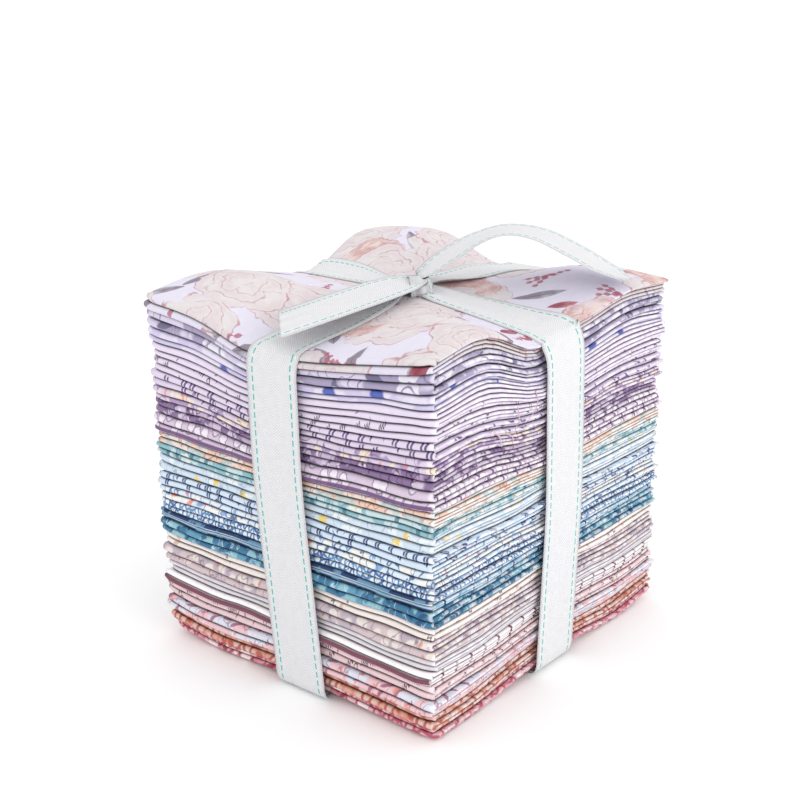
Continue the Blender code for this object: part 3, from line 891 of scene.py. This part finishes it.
class Cotton:
    """One textile's material, built up in layers over its ground colour.

    Its places are in millimetres on the flat cloth.
    """

    def __init__(self, name, ground):
        self.material = bpy.data.materials.new(name)
        self.material.use_nodes = True
        self.tree = self.material.node_tree
        self.shader = self.tree.nodes["Principled BSDF"]
        self.feed(self.shader.inputs["Roughness"], CLOTH_ROUGHNESS)
        self.feed(self.shader.inputs["Specular IOR Level"], CLOTH_SHINE)
        flat = self.add("UVMap", {}, uv_map="flat")
        self.place = self.vector("MULTIPLY", flat.outputs["UV"], (1 / MM, 1 / MM, 0.0))
        self.colour = tone(ground)
        self.shade = CREASE_SHADE

    def feed(self, socket, value):
        """Link or set one input."""
        if isinstance(value, bpy.types.NodeSocket):
            self.tree.links.new(value, socket)
        else:
            socket.default_value = value

    def add(self, kind, inputs, **settings):
        """Add a shader node with its settings and inputs."""
        node = self.tree.nodes.new("ShaderNode" + kind)
        for name, value in settings.items():
            setattr(node, name, value)
        for name, value in inputs.items():
            self.feed(node.inputs[name], value)
        return node

    def math(self, operation, *values, clamp=False):
        """Work out a number from others."""
        inputs = dict(enumerate(values))
        return self.add("Math", inputs, operation=operation, use_clamp=clamp).outputs["Value"]

    def scaled(self, value, factor, added, clamp=False):
        """Multiply a number and add to it."""
        return self.math("MULTIPLY_ADD", value, factor, added, clamp=clamp)

    def vector(self, operation, *values):
        """Work out a place, or a length, from others."""
        node = self.add("VectorMath", dict(enumerate(values)), operation=operation)
        return node.outputs["Value" if operation == "LENGTH" else "Vector"]

    def split(self, place):
        """Give the x and y of a place."""
        node = self.add("SeparateXYZ", {"Vector": place})
        return node.outputs["X"], node.outputs["Y"]

    def turned(self, place, angle):
        """Turn a place by an angle in radians."""
        inputs = {"Vector": place, "Angle": angle}
        return self.add("VectorRotate", inputs, rotation_type="Z_AXIS").outputs["Vector"]

    def below(self, value, limit, soft=SOFT_EDGE):
        """Give 1 where a value is below a limit and 0 above, with a soft edge."""
        return self.scaled(value, -1.0 / soft, limit / soft + 0.5, clamp=True)

    def near(self, value, reach, soft=SOFT_EDGE):
        """Give 1 where a value is this near to 0, with a soft edge."""
        return self.below(self.math("ABSOLUTE", value), reach, soft)

    def both(self, one, other):
        """Keep only what two masks share."""
        return self.math("MULTIPLY", one, other)

    def noise(self, size, seed, detail=2.0):
        """Give a cloudy number from 0 to 1, with clouds of about this size."""
        place = self.vector("ADD", self.place, start(NOISE_START, seed))
        inputs = {"Vector": place, "Scale": 1.0 / size, "Detail": detail}
        return self.add("TexNoise", inputs, noise_dimensions="2D").outputs["Fac"]

    def motif(self, cell, seed, chance, turn=0.0, spread=180.0, randomness=MOTIF_SPREAD):
        """Scatter motifs: give the place from the nearest one, and where it is printed."""
        scale = (1.0 / cell, 1.0 / cell, 0.0)
        place = self.vector("MULTIPLY_ADD", self.place, scale, start(MOTIF_START, seed))
        inputs = {"Vector": place, "Scale": 1.0, "Randomness": randomness}
        node = self.add("TexVoronoi", inputs, voronoi_dimensions="2D")
        away = self.vector("SUBTRACT", place, node.outputs["Position"])
        local = self.vector("MULTIPLY", away, (cell, cell, 0.0))
        draws = self.add("SeparateColor", {"Color": node.outputs["Color"]})
        first = math.radians(turn - spread)
        whole = math.radians(2 * spread)
        angle = self.scaled(draws.outputs["Green"], whole, first)
        printed = self.math("LESS_THAN", draws.outputs["Red"], chance)
        return self.turned(local, angle), printed

    def scattered(self, shape, cell, seed, chance, turn, spread, *sizes):
        """Scatter one of the shapes."""
        local, printed = self.motif(cell, seed, chance, turn, spread)
        return self.both(shape(local, *sizes), printed)

    def cover(self, colour, mask, strength=1.0):
        """Print a colour where the mask is 1."""
        node = self.add("Mix", {}, data_type="RGBA")
        factor, below, above = (s for s in node.inputs if s.enabled)
        self.feed(factor, self.math("MULTIPLY", mask, strength))
        self.feed(below, self.colour)
        self.feed(above, tone(colour))
        self.colour = next(s for s in node.outputs if s.enabled)

    def blots(self, size, seed, level, soft):
        """Give soft blots."""
        return self.below(self.noise(size, seed), 1.0 - level, soft)

    def lines(self, size, seed, level, width):
        """Give thin wandering lines."""
        return self.near(self.math("SUBTRACT", self.noise(size, seed), level), width, width)

    def cells(self, cell, seed, border):
        """Give pebbles that leave a net between them."""
        place = self.vector("ADD", self.place, start(CELL_START, seed))
        inputs = {"Vector": place, "Scale": 1.0 / cell}
        settings = {"voronoi_dimensions": "2D", "feature": "DISTANCE_TO_EDGE"}
        from_edge = self.add("TexVoronoi", inputs, **settings).outputs["Distance"]
        return self.math("SUBTRACT", 1.0, self.below(from_edge, border, CELL_SOFT))

    def stripe(self, offset, width):
        """Give stripes that run across the cloth."""
        off = self.math("SUBTRACT", self.split(self.place)[1], offset)
        nearest = self.math("WRAP", off, STRIPE_PITCH / 2, -STRIPE_PITCH / 2)
        return self.near(nearest, width / 2)

    def oval(self, local, long, short):
        """Give an oval."""
        reach = self.vector("LENGTH", self.vector("DIVIDE", local, (long, short, 1.0)))
        return self.below(reach, 1.0, max(SOFT_EDGE, short * OVAL_SOFT) / short)

    def ring(self, local, radius, width):
        """Give a ring."""
        off = self.math("SUBTRACT", self.vector("LENGTH", local), radius)
        return self.near(off, width / 2)

    def bracket(self, local, reach, gap, bend):
        """Give a pair of bent strokes."""
        x, y = self.split(local)
        bent = self.scaled(self.both(y, y), -bend, x)
        off = self.math("SUBTRACT", self.math("ABSOLUTE", bent), gap / 2)
        return self.both(self.near(off, STROKE), self.near(y, reach))

    def leaf(self, local, long, wide):
        """Give a leaf, pointed at both ends."""
        x, y = self.split(local)
        edge = self.scaled(self.both(x, x), -wide / long**2, wide)
        return self.below(self.math("SUBTRACT", self.math("ABSOLUTE", y), edge), 0.0)

    def lobed(self, local, radius, petals, depth, phase=0.0):
        """Give how far a place lies outside a lobed round outline."""
        x, y = self.split(local)
        angle = self.math("ARCTAN2", y, x)
        wave = self.math("COSINE", self.scaled(angle, petals / 2, phase))
        lobes = self.math("ABSOLUTE", wave)
        edge = self.scaled(lobes, radius * depth, radius * (1 - depth))
        return self.math("SUBTRACT", self.vector("LENGTH", local), edge)

    def flower(self, local, radius, petals, depth):
        """Give a lobed flower."""
        return self.below(self.lobed(local, radius, petals, depth), 0.0)

    def string(self, local, long, wide, step):
        """Give a row of beads."""
        x, y = self.split(local)
        swell = self.math("ABSOLUTE", self.math("SINE", self.math("MULTIPLY", x, math.pi / step)))
        off = self.scaled(swell, -wide, self.math("ABSOLUTE", y))
        return self.both(self.below(off, 0.0), self.near(x, long))

    def squiggle(self, local, long, height, step):
        """Give a short wavy stroke."""
        x, y = self.split(local)
        wave = self.math("SINE", self.math("MULTIPLY", x, 2 * math.pi / step))
        off = self.scaled(wave, -height, y)
        return self.both(self.near(off, STROKE), self.near(x, long))

    def bloom(self, cell, seed, chance, radius, orange, wobble, wash):
        """Print large open flowers, row of petals by row of petals."""
        local, printed = self.motif(cell, seed, chance, randomness=TOP_SPREAD)
        petal, blush = (ORANGE_COLOUR, ORANGE_OUTLINE) if orange else (PETAL_COLOUR, BLUSH_COLOUR)
        outline = ORANGE_OUTLINE if orange else OUTLINE_COLOUR
        for share, petals, phase, depth in PETAL_ROWS:
            off = self.lobed(local, radius * share, petals, depth, phase)
            off = self.math("ADD", off, wobble)
            inside = self.both(self.below(off, 0.0), printed)
            self.cover(petal, inside, PETAL_STRENGTHS[orange])
            middle, half, soft = BLUSH_BAND
            rim = self.near(self.math("ADD", off, middle), half, soft)
            self.cover(blush, self.both(self.both(inside, rim), wash), BLUSH_STRENGTH)
            line = self.both(self.near(off, *OUTLINE_BAND), printed)
            least, more = OUTLINE_STRENGTH
            self.cover(outline, self.both(line, wash), least + more * share)

    def whiten_fold(self):
        """Let short slices of the fold at the right edge show white, and paint less crease shade
        there.
        """
        off = self.math("SUBTRACT", self.split(self.place)[0], FOLD_PLACE)
        edge = self.near(off, SLICE_REACH, SLICE_SOFT)
        self.cover(SLICE_COLOUR, self.both(edge, self.blots(*SLICE_BLOTS)), SLICE_STRENGTH)
        # Less painted crease shade on the fold at the right edge
        self.shade = self.scaled(edge, FOLD_SHADE - CREASE_SHADE, CREASE_SHADE)

    def finish(self, height, depth, alone=False):
        """Put the colour, with mottling and painted shade in the creases, and a relief of the
        weave on the shader.
        """
        clouds = self.noise(*MOTTLE_NOISE)
        value = self.scaled(clouds, 2 * MOTTLE, 1.0 - MOTTLE)
        # Painted shade: the colour is darkened where creases hide the light
        value = self.both(value, self.crease_light(alone))
        mottled_and_shaded = self.add("HueSaturation", {"Color": self.colour, "Value": value})
        bump = self.add("Bump", {"Distance": depth, "Height": height})
        self.feed(self.shader.inputs["Base Color"], mottled_and_shaded.outputs["Color"])
        self.feed(self.shader.inputs["Normal"], bump.outputs["Normal"])
        return self.material

    def crease_light(self, alone):
        """Give the light that is left down in the creases, of this piece alone or of all, which
        darkens the colour there as painted shade.
        """
        inputs = {"Distance": CREASE_REACH}
        node = self.add("AmbientOcclusion", inputs, samples=CREASE_SAMPLES, only_local=alone)
        hidden = self.math("SUBTRACT", 1.0, self.math("POWER", node.outputs["AO"], CREASE_POWER))
        return self.math("SUBTRACT", 1.0, self.both(hidden, self.shade))

    def weave(self):
        """Give the height of a plain weave."""
        turn = 2 * math.pi / WEAVE_PITCH
        turns = [self.math("MULTIPLY", side, turn) for side in self.split(self.place)]
        return self.both(*[self.math("SINE", turn) for turn in turns])


def paint_top(cotton):
    """Print the top cloth's large flowers, leaves and sprigs."""
    uneven = cotton.noise(*TOP_WOBBLE)
    wobble = cotton.scaled(uneven, 2 * WOBBLE_DEPTH, -WOBBLE_DEPTH)
    cloudy = cotton.noise(*TOP_WASH)
    wash = cotton.scaled(cloudy, WASH_GAIN, -WASH_GAIN * WASH_LEVEL, clamp=True)
    for *scatter, long, rosy in TOP_LEAVES:
        local, printed = cotton.motif(*scatter, randomness=TOP_SPREAD)
        pale, dark = (SPRIG_COLOUR, ROSE_DARK) if rosy else (LEAF_COLOUR, LEAF_DARK)
        shape = cotton.both(cotton.leaf(local, long, long * LEAF_SLIMNESS[rosy]), printed)
        cotton.cover(pale, shape, LEAF_STRENGTH)
        cotton.cover(dark, cotton.both(shape, wash), LEAF_WASH)
        vein = cotton.both(cotton.leaf(local, long, VEIN_WIDTH), printed)
        cotton.cover(dark, vein, LEAF_STRENGTH)
    *scatter, long = SPRIGS
    local, printed = cotton.motif(*scatter, randomness=TOP_SPREAD)
    for lean, reach in SPRIG_TWIGS:
        leaning = cotton.turned(local, math.radians(lean))
        twig = cotton.vector("SUBTRACT", leaning, (long * (reach - 1.0), 0.0, 0.0))
        beads = cotton.both(cotton.string(twig, long * reach, *BEADS), printed)
        cotton.cover(SPRIG_COLOUR, beads, LEAF_STRENGTH)
        stem = cotton.both(cotton.leaf(twig, long * reach, STEM_WIDTH), printed)
        cotton.cover(LEAF_DARK, stem, STEM_STRENGTH)
    for flower in BLOOMS:
        cotton.bloom(*flower, wobble, wash)


def cotton_material(slot):
    """Make one cloth's material from its row in PRINTS."""
    ground, layers = PRINTS[slot]
    cotton = Cotton(slot, ground)
    for kind, colour, strength, *numbers in layers:
        pattern = getattr(cotton, kind)
        mask = cotton.scattered(pattern, *numbers) if kind in SHAPES else pattern(*numbers)
        cotton.cover(colour, mask, strength)
    if slot == TOP_SLOT:
        paint_top(cotton)
    else:
        cotton.whiten_fold()
    return cotton.finish(cotton.weave(), WEAVE_DEPTH, slot == TOP_SLOT)


def tape_material():
    """Make the white herringbone tape, with painted shade between its ribs and its running stitch
    along both edges.
    """
    tape = Cotton("white_twill_ribbon", TAPE_COLOUR)
    along, across = tape.split(tape.place)
    zigzag = tape.math("PINGPONG", across, TWILL_COLUMN)
    slant = tape.math("MULTIPLY", tape.math("ADD", along, zigzag), 2 * math.pi / TWILL_PITCH)
    ribs = tape.math("SINE", slant)
    shade = tape.scaled(ribs, 0.5, 0.5)
    # Painted shade in the twill's grooves, darker between the ribs
    tape.cover(TAPE_SHADE, shade)
    from_edge = tape.math("SUBTRACT", tape.math("ABSOLUTE", across), STITCH_LINE)
    line = tape.near(from_edge, STITCH_WIDTH / 2)
    share = tape.math("WRAP", along, STITCH_PITCH, 0.0)
    dashes = tape.below(share, STITCH_PITCH * STITCH_SHARE)
    tape.cover(STITCH_COLOUR, tape.both(line, dashes))
    return tape.finish(ribs, TWILL_DEPTH, True)


def floor_material():
    """Make the plain pale floor's material."""
    material = bpy.data.materials.new("floor")
    material.use_nodes = True
    inputs = material.node_tree.nodes["Principled BSDF"].inputs
    inputs["Base Color"].default_value = FLOOR_COLOUR
    inputs["Roughness"].default_value = 1.0
    inputs["Specular IOR Level"].default_value = 0.0
    return material


def set_camera():
    """Place the camera as the photograph's."""
    data = bpy.data.cameras.new("camera")
    data.lens = CAMERA_LENS
    data.sensor_width = SENSOR_WIDTH
    data.clip_start, data.clip_end = CAMERA_RANGE
    camera = new_object("camera", data)
    look = Vector(CAMERA_LOOK).normalized()
    turn = look.to_track_quat("-Z", "Y").to_matrix().to_4x4()
    roll = Matrix.Rotation(math.radians(CAMERA_ROLL), 4, "Z")
    camera.matrix_world = Matrix.Translation(CAMERA_PLACE) @ turn @ roll
    bpy.context.scene.camera = camera


def add_key_light():
    """Add a soft square light from the right that points at the stack."""
    data = bpy.data.lights.new("key", "AREA")
    data.size = KEY_SIZE
    data.energy = KEY_POWER
    data.color = KEY_COLOUR
    light = new_object("key", data)
    light.location = KEY_PLACE
    way = Vector(KEY_TARGET) - Vector(KEY_PLACE)
    light.rotation_euler = way.to_track_quat("-Z", "Y").to_euler()


def set_lights():
    """Light the stack as in a white studio, a little more from the right."""
    world = bpy.data.worlds.new("studio")
    world.use_nodes = True
    background = world.node_tree.nodes["Background"]
    background.inputs["Color"].default_value = (1.0, 1.0, 1.0, 1.0)
    background.inputs["Strength"].default_value = WORLD_STRENGTH
    bpy.context.scene.world = world
    bpy.context.scene.view_settings.view_transform = "Standard"
    add_key_light()


def add_floor():
    """Lay a plain pale floor."""
    bpy.ops.mesh.primitive_plane_add(size=FLOOR_SIZE)
    floor = bpy.context.object
    floor.name = "floor"
    floor.data.materials.append(floor_material())


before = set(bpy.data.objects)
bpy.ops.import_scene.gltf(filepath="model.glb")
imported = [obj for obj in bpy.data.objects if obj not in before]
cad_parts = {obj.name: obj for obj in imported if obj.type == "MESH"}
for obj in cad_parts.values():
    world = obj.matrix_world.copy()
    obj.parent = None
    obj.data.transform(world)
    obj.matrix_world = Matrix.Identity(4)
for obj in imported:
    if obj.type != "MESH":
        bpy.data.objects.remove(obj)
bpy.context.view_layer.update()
random = np.random.default_rng(SEED)
ribbon = build_ribbon()
ribbon.data.materials.append(tape_material())
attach(ribbon, "root")
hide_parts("ribbon")
cloth_nodes = sorted(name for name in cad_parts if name.startswith("fat_quarter"))
for index, node in enumerate(cloth_nodes):
    cloth = build_cloth(node, index, random)
    if index == THREAD_CLOTH:
        add_threads(cloth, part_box(node)[1].x)
    slot = node[len("fat_quarter_00_"):]
    cloth.data.materials.append(cotton_material(slot))
    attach(cloth, "root")
    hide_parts(node)
set_camera()
set_lights()
add_floor()
